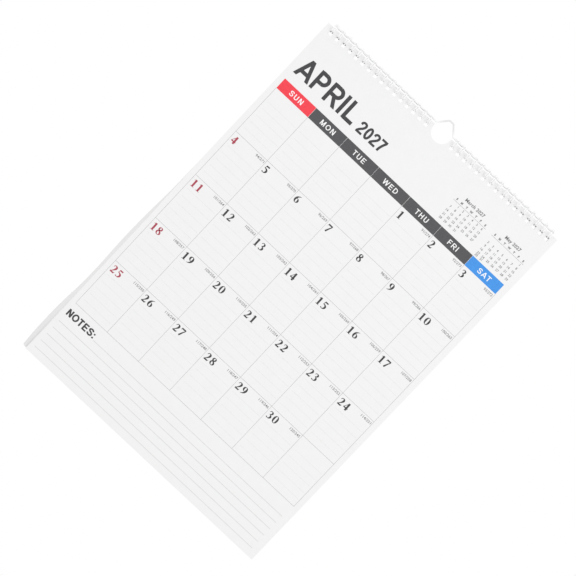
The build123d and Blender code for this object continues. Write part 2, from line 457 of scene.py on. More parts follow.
def grown_mesh(name, data, tree, **values):
    """The plain mesh that a Geometry Nodes tree makes from curve or mesh data."""
    source = bpy.data.objects.new(name + "_source", data)
    bpy.context.scene.collection.objects.link(source)
    modifier = source.modifiers.new(tree.name, "NODES")
    modifier.node_group = tree
    for item in tree.interface.items_tree:
        if item.in_out == "INPUT" and item.name in values:
            modifier[item.identifier] = values[item.name]
    evaluated = source.evaluated_get(bpy.context.evaluated_depsgraph_get())
    mesh = bpy.data.meshes.new_from_object(evaluated)
    source.modifiers.remove(modifier)
    bpy.data.objects.remove(source)
    mesh.name = name
    return mesh


def bars_tree():
    """Straight bars of ink in rows and columns, in the print plane."""
    tree, sizes = new_node_tree("ink_bars", {
        "First_Bar": "Vector", "Bar_Size": "Vector", "Bends_Across": "Int", "Bends_Down": "Int",
        "Columns": "Int", "Column_Step": "Vector", "Rows": "Int", "Row_Step": "Vector", "Ink": "Material"})
    columns = add_node(tree, "GeometryNodeMeshLine", {
        "Count": sizes["Columns"], "Start Location": sizes["First_Bar"], "Offset": sizes["Column_Step"]})
    rows = add_node(tree, "GeometryNodeMeshLine", {"Count": sizes["Rows"], "Offset": sizes["Row_Step"]})
    grid = add_node(tree, "GeometryNodeInstanceOnPoints", {
        "Points": columns.outputs["Mesh"], "Instance": rows.outputs["Mesh"]})
    places = add_node(tree, "GeometryNodeRealizeInstances", {"Geometry": grid.outputs["Instances"]})
    bar = add_node(tree, "GeometryNodeMeshCube", {
        "Size": sizes["Bar_Size"], "Vertices X": sizes["Bends_Across"], "Vertices Y": sizes["Bends_Down"]})
    bars = add_node(tree, "GeometryNodeInstanceOnPoints", {
        "Points": places.outputs["Geometry"], "Instance": bar.outputs["Mesh"]})
    return finish_node_tree(tree, bars.outputs["Instances"], sizes["Ink"])


def wire_tree():
    """Round wire along a curve, with closed ends."""
    tree, sizes = new_node_tree("round_wire", {"Diameter": "Float", "Sides": "Int", "Coat": "Material"})
    radius = add_node(tree, "ShaderNodeMath", {0: sizes["Diameter"], 1: 2.0}, operation="DIVIDE")
    section = add_node(tree, "GeometryNodeCurvePrimitiveCircle", {
        "Resolution": sizes["Sides"], "Radius": radius.outputs["Value"]})
    wire = add_node(tree, "GeometryNodeCurveToMesh", {
        "Curve": sizes["Geometry"], "Profile Curve": section.outputs["Curve"], "Fill Caps": True})
    return finish_node_tree(tree, wire.outputs["Mesh"], sizes["Coat"])


def leaf_stack_tree():
    """Copies of a leaf, one behind the other. Each hangs askew by its own share of the fan."""
    least_share = 0.35
    low_place, high_place, value_place = 2, 3, 1  # plain numbers' places among the random node's sockets
    tree, sizes = new_node_tree("leaf_stack", {
        "Leaves": "Int", "Step": "Vector", "Sheet_Top": "Float", "Sheet_Height": "Float",
        "Fan_Out": "Float", "Askew_Lift": "Float", "Seed": "Int", "Paper": "Material"})
    line = add_node(tree, "GeometryNodeMeshLine", {"Count": sizes["Leaves"], "Offset": sizes["Step"]})
    share = add_node(tree, "FunctionNodeRandomValue", {
        low_place: least_share, high_place: 1.0, "Seed": sizes["Seed"]})
    marked = add_node(tree, "GeometryNodeStoreNamedAttribute", {
        "Geometry": line.outputs["Mesh"], "Name": "askew", "Value": share.outputs[value_place]})
    copies = add_node(tree, "GeometryNodeInstanceOnPoints", {
        "Points": marked.outputs["Geometry"], "Instance": sizes["Geometry"]})
    leaves = add_node(tree, "GeometryNodeRealizeInstances", {"Geometry": copies.outputs["Instances"]})
    place = add_node(tree, "GeometryNodeInputPosition")
    axes = add_node(tree, "ShaderNodeSeparateXYZ", {"Vector": place.outputs["Position"]})
    below = add_node(tree, "ShaderNodeMath", {
        0: sizes["Sheet_Top"], 1: axes.outputs["Z"]}, operation="SUBTRACT")
    drop = add_node(tree, "ShaderNodeMath", {
        0: below.outputs[0], 1: sizes["Sheet_Height"]}, operation="DIVIDE")
    profile = add_node(tree, "ShaderNodeFloatCurve", {"Value": drop.outputs[0]})
    curve = profile.mapping.curves[0]
    curve.points[0].location = FAN_PROFILE[0]
    curve.points[1].location = FAN_PROFILE[-1]
    for drop_share, reach_share in FAN_PROFILE[1:-1]:
        curve.points.new(drop_share, reach_share)
    for point in curve.points:
        point.handle_type = "AUTO_CLAMPED"
    profile.mapping.update()
    askew = add_node(tree, "GeometryNodeInputNamedAttribute", {"Name": "askew"})
    amount = add_node(tree, "ShaderNodeMath", {
        0: profile.outputs["Value"], 1: askew.outputs["Attribute"]}, operation="MULTIPLY")
    across = add_node(tree, "ShaderNodeMath", {
        0: amount.outputs[0], 1: sizes["Fan_Out"]}, operation="MULTIPLY")
    leftwards = add_node(tree, "ShaderNodeMath", {0: across.outputs[0], 1: -1.0}, operation="MULTIPLY")
    left_share = add_node(tree, "ShaderNodeMapRange", {
        "Value": axes.outputs["X"], "From Min": SHEET_LEFT, "From Max": -SHEET_LEFT,
        "To Min": 1.0, "To Max": 0.0})
    leaf_lift = add_node(tree, "ShaderNodeMath", {
        0: amount.outputs[0], 1: sizes["Askew_Lift"]}, operation="MULTIPLY")
    lift = add_node(tree, "ShaderNodeMath", {
        0: leaf_lift.outputs[0], 1: left_share.outputs["Result"]}, operation="MULTIPLY")
    offset = add_node(tree, "ShaderNodeCombineXYZ", {"X": leftwards.outputs[0], "Z": lift.outputs[0]})
    moved = add_node(tree, "GeometryNodeSetPosition", {
        "Geometry": leaves.outputs["Geometry"], "Offset": offset.outputs["Vector"]})
    return finish_node_tree(tree, moved.outputs["Geometry"], sizes["Paper"])


def add_piece(name, mesh, material, body):
    """Adds a finished mesh as a piece that rides on a CAD body. Its object stays at the origin."""
    mesh.name = name
    mesh.materials.clear()
    mesh.materials.append(material)
    piece = bpy.data.objects.new(name, mesh)
    bpy.context.scene.collection.objects.link(piece)
    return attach(piece, body)


def to_mesh(name, shape):
    """Turns a bmesh into a mesh whose faces point outwards."""
    bmesh.ops.recalc_face_normals(shape, faces=shape.faces[:])
    mesh = bpy.data.meshes.new(name)
    shape.to_mesh(mesh)
    shape.free()
    return mesh


def smooth_faces(mesh, angle=35):
    """Smooth shading, with edges sharper than the angle left sharp."""
    mesh.shade_smooth()
    mesh.set_sharp_from_angle(angle=math.radians(angle))


def finger_places(wires):
    """Distances of the binding fingers from the middle of the sheet."""
    return [k * wires.pitch for k in range(wires.first_finger, wires.last_finger + 1)]


def steps_between(start, end, step):
    """Evenly spaced values from start up to, but not including, end."""
    count = max(1, round(abs(end - start) / step))
    return [start + (end - start) * i / count for i in range(count)]


def leaf_outline(sheets):
    """The leaf's outline as seen from the front, with its U-shaped notch. It runs round from the notch's
    right side."""
    half = SHEET_WIDTH / 2
    radius = sheets.notch_width / 2
    centre_z = SHEET_TOP - (sheets.notch_depth - radius)
    step = sheets.mesh_step
    outline = [(x, SHEET_TOP) for x in steps_between(radius, half, step)]
    outline += [(half, z) for z in steps_between(SHEET_TOP, SHEET_BOTTOM, step)]
    outline += [(x, SHEET_BOTTOM) for x in steps_between(half, -half, step)]
    outline += [(-half, z) for z in steps_between(SHEET_BOTTOM, SHEET_TOP, step)]
    outline += [(x, SHEET_TOP) for x in steps_between(-half, -radius, step)]
    outline.append((-radius, SHEET_TOP))
    for turn in arc_steps(0, 180, 16):
        outline.append((-radius * math.cos(turn), centre_z - radius * math.sin(turn)))
    return outline


def leaf_mesh(sheets, wires):
    """One flat leaf, with its holes, its notch and inner points that let it bend. Its face is at y = 0."""
    fingers = finger_places(wires)
    loops = [leaf_outline(sheets)]
    hole_top = SHEET_TOP - sheets.hole_web
    hole_low = hole_top - sheets.hole_height
    for place in fingers:
        for x in (-place, place):
            left = x - sheets.hole_width / 2
            right = x + sheets.hole_width / 2
            loops.append([(left, hole_top), (left, hole_low), (right, hole_low), (right, hole_top)])
    points, edges = [], []
    for loop in loops:
        first = len(points)
        points += loop
        edges += [(first + i, first + (i + 1) % len(loop)) for i in range(len(loop))]
    margin_share = 0.6
    margin = margin_share * sheets.mesh_step
    inner_top = SHEET_TOP - 2 * margin - sheets.hole_height
    for x in steps_between(SHEET_LEFT + margin, -SHEET_LEFT - margin, sheets.mesh_step):
        for z in steps_between(SHEET_BOTTOM + margin, inner_top, sheets.mesh_step):
            if math.hypot(x, z - SHEET_TOP) > sheets.notch_depth + margin:
                points.append((x, z))
    inside_outline = 1
    weld_distance = 1e-7
    places, _, triangles, *_ = delaunay_2d_cdt(
        [Vector(p) for p in points], edges, [], inside_outline, weld_distance)
    shape = bmesh.new()
    corners = [shape.verts.new((p.x, 0, p.y)) for p in places]
    for triangle in triangles:
        middle = sum((places[i] for i in triangle), Vector((0, 0))) / 3
        off_finger = min(abs(abs(middle.x) - place) for place in fingers)
        in_hole = hole_low < middle.y < hole_top and off_finger < sheets.hole_width / 2
        if not in_hole:
            shape.faces.new([corners[i] for i in triangle])
    grown = bmesh.ops.extrude_face_region(shape, geom=shape.faces[:], use_keep_orig=True)
    back = [item for item in grown["geom"] if isinstance(item, bmesh.types.BMVert)]
    bmesh.ops.translate(shape, verts=back, vec=(0, sheets.leaf_thickness, 0))
    return to_mesh("leaf", shape)


def corner_curl(x, z):
    """How far the month sheet stands off the stack at a place, towards the reader."""
    sheets = bpy.context.scene.calendar_sheets
    from_corner = (x - SHEET_LEFT) + (z - SHEET_BOTTOM)
    return sheets.curl_height * max(0.0, 1 - from_corner / sheets.curl_reach) ** 2


def fan_share(drop):
    """How far out the leaves behind are at a share of the way down, as a share of the most that they are."""
    for (drop_a, reach_a), (drop_b, reach_b) in zip(FAN_PROFILE, FAN_PROFILE[1:]):
        if drop <= drop_b:
            return reach_a + (reach_b - reach_a) * (drop - drop_a) / (drop_b - drop_a)
    return FAN_PROFILE[-1][1]


def build_sheets(sheets, wires):
    """The month sheet with its bent border and curled corner, and the leaves behind it."""
    paper = uncoated_paper("uncoated_offset_paper", sheets.paper)
    # The leaves behind get a greyer paper: painted shade.
    shaded_paper = uncoated_paper("painted_shade_offset_paper", sheets.paper_behind)
    leaf = leaf_mesh(sheets, wires)
    front = leaf.copy()
    for vertex in front.vertices:
        x, y, z = vertex.co
        near_edge = max(0.0, 1 - (x - SHEET_LEFT) / sheets.border)
        over_fan = min(1.0, 2 * fan_share((SHEET_TOP - z) / SHEET_HEIGHT))
        vertex.co = (x + sheets.draw_in * near_edge * over_fan, y + FACE_Y - corner_curl(x, z), z)
    smooth_faces(front)
    month_sheet = add_piece("month_sheet", front, paper, "pages")
    step = (BACK_Y - FACE_Y - sheets.leaf_thickness) / sheets.leaf_count
    for vertex in leaf.vertices:
        vertex.co.y += FACE_Y + step
    behind = grown_mesh(
        "sheets_behind", leaf, leaf_stack_tree(), Leaves=sheets.leaf_count, Step=(0, step, 0),
        Sheet_Top=SHEET_TOP, Sheet_Height=SHEET_HEIGHT, Fan_Out=sheets.fan_out, Askew_Lift=sheets.askew_lift,
        Seed=3, Paper=shaded_paper)
    behind.attributes.remove(behind.attributes["askew"])
    smooth_faces(behind)
    for piece in (month_sheet, add_piece("sheets_behind", behind, shaded_paper, "pages")):
        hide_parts("page_block")


def curve_through(points):
    """Curve data with straight runs through the points, close enough together to look smooth."""
    data = bpy.data.curves.new("wire_path", "CURVE")
    data.dimensions = "3D"
    spline = data.splines.new("POLY")
    spline.points.add(len(points) - 1)
    for knot, point in zip(spline.points, points):
        knot.co = (*point, 1.0)
    return data


def finger_path(wires):
    """A finger's wire unrolled from its loop, as (across, angle from the loop's lowest point). It leaves the
    closure behind the sheets, passes the top, the front and the hole, turns at the tip and comes back."""
    closure = math.radians(240)
    tip = math.radians(-104)
    half = wires.finger_width / 2
    bend = wires.bend_radius
    bend_runs = 5
    loop_runs = 26
    run_top = closure - bend / wires.loop_radius
    run_end = tip + half / wires.loop_radius
    out = []
    for turn in arc_steps(0, 90, bend_runs):
        angle = closure - bend * (1 - math.cos(turn)) / wires.loop_radius
        out.append((-half - bend + bend * math.sin(turn), angle))
    out += [(-half, run_top + (run_end - run_top) * i / loop_runs) for i in range(1, loop_runs + 1)]
    for turn in arc_steps(0, 90, bend_runs)[1:]:
        out.append((-half * math.cos(turn), run_end - half * math.sin(turn) / wires.loop_radius))
    return out + [(-x, angle) for x, angle in reversed(out[:-1])]


def build_wire_loops(wires):
    """The two combs of twin loops, one each side of the notch."""
    # The loops are painted dark, as painted shade, below this share of their half height.
    shade_share = 0.87
    # The loops are painted light grey where they cross the hanger, as painted shade.
    coat = coated_wire(
        "white_nylon_coated_wire", wires.loop_coat, painted_shade_below=LOOP_AXIS_Z - shade_share * wires.loop_half,
        shade_band_at=ARM_Z - wires.hanger_wire / 3)
    tree = wire_tree()
    for side, name in ((-1, "left_wire"), (1, "right_wire")):
        unrolled = [(x + place, angle) for place in finger_places(wires) for x, angle in finger_path(wires)]
        unrolled.insert(0, (comb_low.x, unrolled[0][1]))
        unrolled.append((comb_high.x, unrolled[-1][1]))
        points = []
        for x, angle in unrolled:
            y = -wires.loop_radius * math.sin(angle)
            z = LOOP_AXIS_Z - wires.loop_half * math.cos(angle)
            points.append((side * x, y, z))
        mesh = grown_mesh(
            name + "_loops", curve_through(points), tree, Diameter=wires.wire, Sides=10, Coat=coat)
        smooth_faces(mesh, angle=60)
        piece = add_piece(name + "_loops", mesh, coat, "binding")
        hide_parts(name + "_comb")


def rounded_path(corners, radius, count=8):
    """A path through the corners with each inner one rounded by an arc, as points in a plane."""
    path = [Vector(corners[0])]
    for before, corner, after in zip(corners, corners[1:], corners[2:]):
        corner = Vector(corner)
        back = (Vector(before) - corner).normalized()
        on = (Vector(after) - corner).normalized()
        half_angle = back.angle(on) / 2
        centre = corner + (back + on).normalized() * radius / math.sin(half_angle)
        start = corner + back * radius / math.tan(half_angle) - centre
        end = corner + on * radius / math.tan(half_angle) - centre
        path += [centre + start.slerp(end, i / count) * radius for i in range(count + 1)]
    return path + [Vector(corners[-1])]


def build_hanger(wires):
    """The hanger: one wire, straight through the loops and bent up over the notch for a hook."""
    crown_z = hanger_high.z - wires.hanger_wire / 2
    right = [(wires.hook_crown / 2, crown_z), (wires.hook_foot / 2, ARM_Z), (hanger_high.x, ARM_Z)]
    left = [(-x, z) for x, z in reversed(right)]
    path = rounded_path(left + right, wires.hook_bend)
    # The hook is painted light grey from its crown down towards the arms, as painted shade.
    coat = coated_wire(
        "lacquered_steel_wire", wires.hanger_coat, shade_band_at=crown_z, shade_band_reach=crown_z - ARM_Z)
    points = [(p.x, 0, p.y) for p in path]
    mesh = grown_mesh(
        "hanger_wire", curve_through(points), wire_tree(), Diameter=wires.hanger_wire, Sides=16, Coat=coat)
    smooth_faces(mesh, angle=60)
    piece = add_piece("hanger_wire", mesh, coat, "hanger")
    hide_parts("hanger")


def lay_on_sheet(mesh):
    """Moves a mesh from the print plane onto the month sheet. There x is right of the sheet's upper left
    corner, y is up from it, and z is off the paper. The print sits slightly askew on the sheet."""
    askew = bpy.context.scene.calendar_print.askew
    for vertex in mesh.vertices:
        right, down, off = vertex.co.x, -vertex.co.y, vertex.co.z
        x = SHEET_LEFT + right + askew * (down - SHEET_HEIGHT / 2)
        z = SHEET_TOP - down + askew * (right - SHEET_WIDTH / 2)
        vertex.co = (x, FACE_Y - off - corner_curl(x, z), z)


def add_print(name, mesh, ink):
    """Lays a mesh of the print plane on the month sheet as a piece."""
    lay_on_sheet(mesh)
    add_piece(name, mesh, ink, "pages")


def ink_bars(name, ink, first, size, columns=(1, 0), rows=(1, 0), layer=0):
    """Straight bars of ink. First is the middle of the first bar, right and down from the sheet's corner.
    Columns and rows are each a number of bars and the step between them."""
    thickness = bpy.context.scene.calendar_print.ink_thickness
    bend_step = 8 * MM
    return grown_mesh(
        name, bpy.data.meshes.new(name), bars_tree(),
        First_Bar=(first[0], -first[1], layer * LAYER_RISE * thickness), Bar_Size=(*size, 2 * thickness),
        Bends_Across=2 + int(size[0] / bend_step), Bends_Down=2 + int(size[1] / bend_step),
        Columns=columns[0], Column_Step=(columns[1], 0, 0), Rows=rows[0], Row_Step=(0, -rows[1], 0), Ink=ink)


def joined(name, meshes):
    """One mesh of several."""
    shape = bmesh.new()
    for mesh in meshes:
        shape.from_mesh(mesh)
    return to_mesh(name, shape)


def lettering(words, cap_height, baseline, right=None, middle=None, width=None, weight=0.0, spacing=1.0):
    """Words in the print plane, in Blender's own sans letters, set by their right end or their middle.
    Weight thickens the strokes, as a share of the letters' size."""
    thickness = bpy.context.scene.calendar_print.ink_thickness
    capital_share = 0.682  # height of that font's capitals, as a share of the letters' size
    weld_distance = MM / 1000
    data = bpy.data.curves.new(words, "FONT")
    data.body = words
    data.offset = weight
    data.space_character = spacing
    data.resolution_u = 3
    data.extrude = 0.5
    source = bpy.data.objects.new(words, data)
    bpy.context.scene.collection.objects.link(source)
    evaluated = source.evaluated_get(bpy.context.evaluated_depsgraph_get())
    mesh = bpy.data.meshes.new_from_object(evaluated)
    bpy.data.objects.remove(source)
    low = min(vertex.co.x for vertex in mesh.vertices)
    high = max(vertex.co.x for vertex in mesh.vertices)
    tall = cap_height / (capital_share + 2 * weight)
    wide = width / (high - low) if width else tall
    if right is not None:
        start = right - (high - low) * wide
    else:
        start = middle - (high - low) * wide / 2
    for vertex in mesh.vertices:
        x, y, z = vertex.co
        vertex.co = (
            start + (x - low) * wide, baseline + (y + weight) * tall, (2 * z + LAYER_RISE) * thickness)
    shape = bmesh.new()
    shape.from_mesh(mesh)
    bmesh.ops.remove_doubles(shape, verts=shape.verts[:], dist=weld_distance)
    return to_mesh(words, shape)


def smooth_line(points, steps=5):
    """A smooth line through the points, closed where the last point is the first."""
    points = [Vector(p) for p in points]
    closed = points[0] == points[-1]
    before = points[-2] if closed else 2 * points[0] - points[1]
    after = points[1] if closed else 2 * points[-1] - points[-2]
    padded = [before, *points, after]
    line = []
    for a, b, c, d in zip(padded, padded[1:], padded[2:], padded[3:]):
        for i in range(steps):
            t = i / steps
            line.append(
                b + (c - a) * (t / 2) + (2 * a - 5 * b + 4 * c - d) * (t * t / 2)
                + (3 * b - a - 3 * c + d) * (t ** 3 / 2))
    return line + [points[-1]]


def pen_stroke(shape, pen, origin, scale, low, high):
    """Adds a pen stroke to a bmesh as a flat closed ribbon from low to high. A straight stroke's ends are
    cut level, or upright where it runs across."""
    line = smooth_line(pen) if len(pen) > 2 else [Vector(p) for p in pen]
    closed = pen[0] == pen[-1]
    if closed:
        line.pop()
    last = len(line) - 1
    around = ((0, low), (1, low), (1, high), (0, high))
    rings = []
    for i, point in enumerate(line):
        before = line[i - 1] if i or closed else point
        after = line[(i + 1) % len(line)] if i < last or closed else point
        along = (after - before).to_2d().normalized()
        half = point.z / 2
        if len(pen) > 2:
            aside = Vector((-along.y, along.x)) * half
        elif abs(along.y) > abs(along.x):
            aside = Vector((half / along.y, 0))
        else:
            aside = Vector((0, half / along.x))
        sides = [point.to_2d() + aside, point.to_2d() - aside]
        corners = [(origin[0] + scale[0] * side.x, origin[1] + scale[1] * side.y) for side in sides]
        rings.append([shape.verts.new((*corners[k], z)) for k, z in around])
    if closed:
        rings.append(rings[0])
    else:
        shape.faces.new(rings[0])
        shape.faces.new(rings[-1])
    for ring, following in zip(rings, rings[1:]):
        for k in range(4):
            shape.faces.new([ring[k], ring[k - 1], following[k - 1], following[k]])


def serif_number(number, height, left, baseline):
    """A number in bold serif numerals in the print plane."""
    thickness = bpy.context.scene.calendar_print.ink_thickness
    pen_weight = 1.06
    wide = 1.19 * height
    advance = 0.84 * height
    shape = bmesh.new()
    for place, digit in enumerate(str(number)):
        for layer, stroke in enumerate(NUMERAL_STROKES[digit]):
            pen = [(x, y, width * pen_weight) for x, y, width in stroke]
            pen_stroke(
                shape, pen, (left + place * advance, baseline), (wide, height), -thickness,
                thickness * (1 + (layer + 1) * LAYER_RISE))
    return to_mesh("number", shape)


def sans_words(
        words, cap_height, baseline, pen_width, left=None, middle=None, wide=1.0, spacing=0.0, layer=1):
    """Words in bold sans letters in the print plane, set by their left or their middle. Wide stretches the
    letters. The pen's width and the spacing between letters are shares of the cap height."""
    thickness = bpy.context.scene.calendar_print.ink_thickness
    advances = [(SANS_STROKES[letter][0] * wide + spacing) * cap_height for letter in words]
    start = left if middle is None else middle - (sum(advances) - spacing * cap_height) / 2
    shape = bmesh.new()
    for letter, advance in zip(words, advances):
        for order, stroke in enumerate(SANS_STROKES[letter][1]):
            pen = [(x, y, pen_width) for x, y in stroke]
            pen_stroke(
                shape, pen, (start, baseline), (wide * cap_height, cap_height), -thickness,
                thickness * (1 + (layer + order) * LAYER_RISE))
        start += advance
    return to_mesh(words, shape)


def month_rows(year, month):
    """The weeks of a month from Sunday to Saturday. Days outside the month are zero."""
    return calendar.Calendar(firstweekday=6).monthdayscalendar(year, month)


def grid_top(layout):
    """The line under the weekday bar, down from the sheet's top edge."""
    return layout.bar_top + layout.bar_height


def column_line(layout, column):
    """A column's left line, right of the sheet's left edge."""
    return layout.grid_left + column * layout.column


def build_weekday_bar(layout):
    """The coloured bar over the grid, a field for each weekday, with the weekdays' names."""
    fields = [
        ("sunday_bar", "red_offset_ink", layout.sunday_ink, 0, 1),
        ("weekday_bar", "dark_grey_offset_ink", layout.bar_ink, 1, 5),
        ("saturday_bar", "blue_offset_ink", layout.saturday_ink, 6, 1),
    ]
    middle = layout.bar_top + layout.bar_height / 2
    size = (layout.column - layout.bar_gap, layout.bar_height)
    for name, ink_name, base, first, count in fields:
        ink = offset_ink(ink_name, base)
        place = (column_line(layout, first + 0.5), middle)
        add_print(name, ink_bars(name, ink, place, size, columns=(count, layout.column)), ink)
    paper = uncoated_paper("unprinted_offset_paper", linear("#FCFCFC"))
    cap_height = 5.4 * MM
    names = []
    for column in range(WEEKDAYS):
        words = calendar.day_abbr[column - 1].upper()
        names.append(sans_words(
            words, cap_height, -middle - cap_height / 2, pen_width=0.15, wide=1.18, spacing=0.12, layer=3,
            middle=column_line(layout, column + 0.5)))
    add_print("weekday_names", joined("weekday_names", names), paper)


def build_title(layout):
    """The month's name and the year."""
    ink = offset_ink("title_offset_ink", layout.dark_ink)
    month_name = calendar.month_name[layout.month].upper()
    month_height = 21.3 * MM
    year_height = 12.8 * MM
    baseline = -57.25 * MM
    left = 7.7 * MM
    gap = 5.3 * MM
    pen_width = 0.18
    month = sans_words(month_name, month_height, baseline, pen_width, left=left)
    month_right = max(vertex.co.x for vertex in month.vertices)
    year = sans_words(
        str(layout.year), year_height, baseline, pen_width, left=month_right + gap, wide=1.07, spacing=-0.033)
    add_print("month_title", joined("month_title", [month, year]), ink)


def build_days(layout):
    """The day numbers, Sundays in red, and the small count of days gone and days left in each cell."""
    number_height = 8.15 * MM
    number_inset = 2.0 * MM
    number_drop = 3.15 * MM
    count_height = 2.75 * MM
    count_inset = 1.2 * MM
    count_drop = 1.9 * MM
    count_step = 1.8 * MM
    weekdays, sundays, counts = [], [], []
    days_in_year = 366 if calendar.isleap(layout.year) else 365
    for week, days in enumerate(month_rows(layout.year, layout.month)):
        row_line = grid_top(layout) + week * layout.row
        for column, day in enumerate(days):
            if not day:
                continue
            baseline = -row_line - number_drop - number_height
            number = serif_number(day, number_height, column_line(layout, column) + number_inset, baseline)
            (weekdays if column else sundays).append(number)
            gone = datetime.date(layout.year, layout.month, day).timetuple().tm_yday
            count = f"{gone}/{days_in_year - gone}"
            counts.append(lettering(
                count, count_height, -row_line - count_drop - count_height, width=count_step * len(count),
                right=column_line(layout, column + 1) - count_inset, weight=0.012))
    dark = offset_ink("number_offset_ink", layout.dark_ink)
    red = offset_ink("sunday_number_offset_ink", layout.number_red)
    small = offset_ink("count_offset_ink", layout.small_ink)
    add_print("day_numbers", joined("day_numbers", weekdays), dark)
    add_print("sunday_numbers", joined("sunday_numbers", sundays), red)
    add_print("day_counts", joined("day_counts", counts), small)


def build_grid(layout):
    """The lines of the month grid."""
    weeks = len(month_rows(layout.year, layout.month))
    top = grid_top(layout)
    width = WEEKDAYS * layout.column
    height = weeks * layout.row
    ink = offset_ink("grid_offset_ink", layout.grid_ink)
    down_lines = ink_bars(
        "down_lines", ink, (layout.grid_left, top + height / 2), (layout.grid_line, height),
        columns=(WEEKDAYS + 1, layout.column))
    across_lines = ink_bars(
        "across_lines", ink, (layout.grid_left + width / 2, top + layout.row), (width, layout.grid_line),
        rows=(weeks, layout.row), layer=1)
    add_print("month_grid", joined("month_grid", [down_lines, across_lines]), ink)


def build_cell_rules(layout):
    """The writing rules in the cells of the grid."""
    weeks = len(month_rows(layout.year, layout.month))
    ink = offset_ink("cell_rule_offset_ink", layout.cell_ink)
    rules_in_cell = 5
    first_rule = 15.4 * MM
    rule_step = 8.4 * MM
    inset_left = 3.5 * MM
    inset_right = 2.0 * MM
    rule_length = layout.column - inset_left - inset_right
    middle = layout.grid_left + inset_left + rule_length / 2
    rules = []
    for i in range(rules_in_cell):
        drop = grid_top(layout) + first_rule + i * rule_step
        rules.append(ink_bars(
            "cell_rules", ink, (middle, drop), (rule_length, layout.cell_rule),
            columns=(WEEKDAYS, layout.column), rows=(weeks, layout.row)))
    add_print("cell_rules", joined("cell_rules", rules), ink)


def build_note_lines(layout):
    """The lines for notes under the grid. The first one starts right of their heading."""
    ink = offset_ink("note_rule_offset_ink", layout.note_ink)
    left = 5.8 * MM
    heading_right = 43.3 * MM
    right = 296.5 * MM
    top = 380.4 * MM
    step = 8.61 * MM
    full_lines = 5
    first_line = ink_bars(
        "note_lines", ink, ((heading_right + right) / 2, top), (right - heading_right, layout.note_rule))
    lines = ink_bars(
        "note_lines", ink, ((left + right) / 2, top + step), (right - left, layout.note_rule),
        rows=(full_lines, step))
    add_print("note_lines", joined("note_lines", [first_line, lines]), ink)


def build_notes_heading(layout):
    """The heading over the lines for notes."""
    ink = offset_ink("heading_offset_ink", layout.dark_ink)
    cap_height = 7.4 * MM
    baseline = -380.0 * MM
    left = 5.9 * MM
    words = sans_words("NOTES:", cap_height, baseline, pen_width=0.215, left=left, wide=1.1, spacing=0.028)
    add_print("notes_heading", words, ink)


def small_month(year, month, left, step):
    """A month's small table in the print plane: its title, the weekdays' letters and the days."""
    digit_height = 2.4 * MM
    title_height = 3.6 * MM
    title_baseline = -34.0 * MM
    letters_middle = 37.8 * MM
    first_row = 42.75 * MM
    row_step = 4.7 * MM
    full_steps = 4
    last_step = 2.9 * MM  # a sixth week is set closer, to keep off the weekday bar
    title = f"{calendar.month_name[month]} {year}"
    words = [lettering(
        title, title_height, title_baseline, middle=left + 3 * step, weight=0.035, spacing=1.07)]
    for column, letter in enumerate("SMTWTFS"):
        words.append(lettering(
            letter, digit_height, -letters_middle - digit_height / 2, middle=left + column * step,
            weight=0.07))
    for week, days in enumerate(month_rows(year, month)):
        row_middle = first_row + min(week, full_steps) * row_step + max(0, week - full_steps) * last_step
        for column, day in enumerate(days):
            if day:
                words.append(lettering(
                    str(day), digit_height, -row_middle - digit_height / 2, middle=left + column * step,
                    weight=0.018))
    return words


def build_small_months(layout):
    """The month before and the month after, in small print at the upper right."""
    ink = offset_ink("small_print_offset_ink", layout.small_ink)
    rule_drop = 40.3 * MM
    rule_length = 42.8 * MM
    rule_width = 0.25 * MM
    before = (-1, 207.75 * MM, 6.21 * MM)
    after = (1, 258.3 * MM, 6.24 * MM)
    words = []
    for months_on, left, step in (before, after):
        count = layout.year * 12 + layout.month - 1 + months_on
        words += small_month(count // 12, count % 12 + 1, left, step)
        words.append(ink_bars("small_rule", ink, (left + 3 * step, rule_drop), (rule_length, rule_width)))
    add_print("small_months", joined("small_months", words), ink)


def build_floor():
    """A pale floor well below the hanging calendar."""
    floor_z = -1.1
    floor_half = 0.8
    shape = bmesh.new()
    bmesh.ops.create_grid(shape, x_segments=8, y_segments=8, size=floor_half)
    bmesh.ops.translate(shape, verts=shape.verts[:], vec=(0, 0, floor_z))
    mesh = bpy.data.meshes.new("floor")
    shape.to_mesh(mesh)
    shape.free()
    floor = bpy.data.objects.new("floor", mesh)
    mesh.materials.append(uncoated_paper("studio_paper_roll", linear("#F4F4F4")))
    bpy.context.scene.collection.objects.link(floor)


def build_world():
    """A world that is plain white to the camera and to reflections, and a softer fill light to the rest."""
    fill_strength = 0.92
    world = bpy.data.worlds.new("studio")
    bpy.context.scene.world = world
    world.use_nodes = True
    tree = world.node_tree
    tree.nodes.clear()
    path = add_node(tree, "ShaderNodeLightPath").outputs
    seen = add_node(tree, "ShaderNodeMath", {
        0: path["Is Camera Ray"], 1: path["Is Glossy Ray"]}, operation="MAXIMUM")
    seen = add_node(tree, "ShaderNodeMath", {
        0: seen.outputs[0], 1: path["Is Transmission Ray"]}, operation="MAXIMUM")
    strength = add_node(tree, "ShaderNodeMapRange", {
        "Value": seen.outputs[0], "To Min": fill_strength, "To Max": 1.0})
    background = add_node(tree, "ShaderNodeBackground", {
        "Color": (1, 1, 1, 1), "Strength": strength.outputs["Result"]})
    add_node(tree, "ShaderNodeOutputWorld", {"Surface": background.outputs["Background"]})


def build_softboxes():
    """Two softboxes that face the sheet: a key light at the upper right and a weaker one at the left."""
    key = ("key_softbox", (1.1, -1.5, 0.9), 0.9, 6)
    fill = ("fill_softbox", (-1.3, -1.6, 0.2), 1.2, 1)
    middle = Vector((0, 0, SHEET_TOP - SHEET_HEIGHT / 2))
    for name, place, size, power in (key, fill):
        lamp = bpy.data.lights.new(name, "AREA")
        lamp.size = size
        lamp.energy = power
        light = bpy.data.objects.new(name, lamp)
        light.location = place
        light.rotation_mode = "QUATERNION"
        light.rotation_quaternion = (middle - Vector(place)).to_track_quat("-Z", "Y")
        bpy.context.scene.collection.objects.link(light)


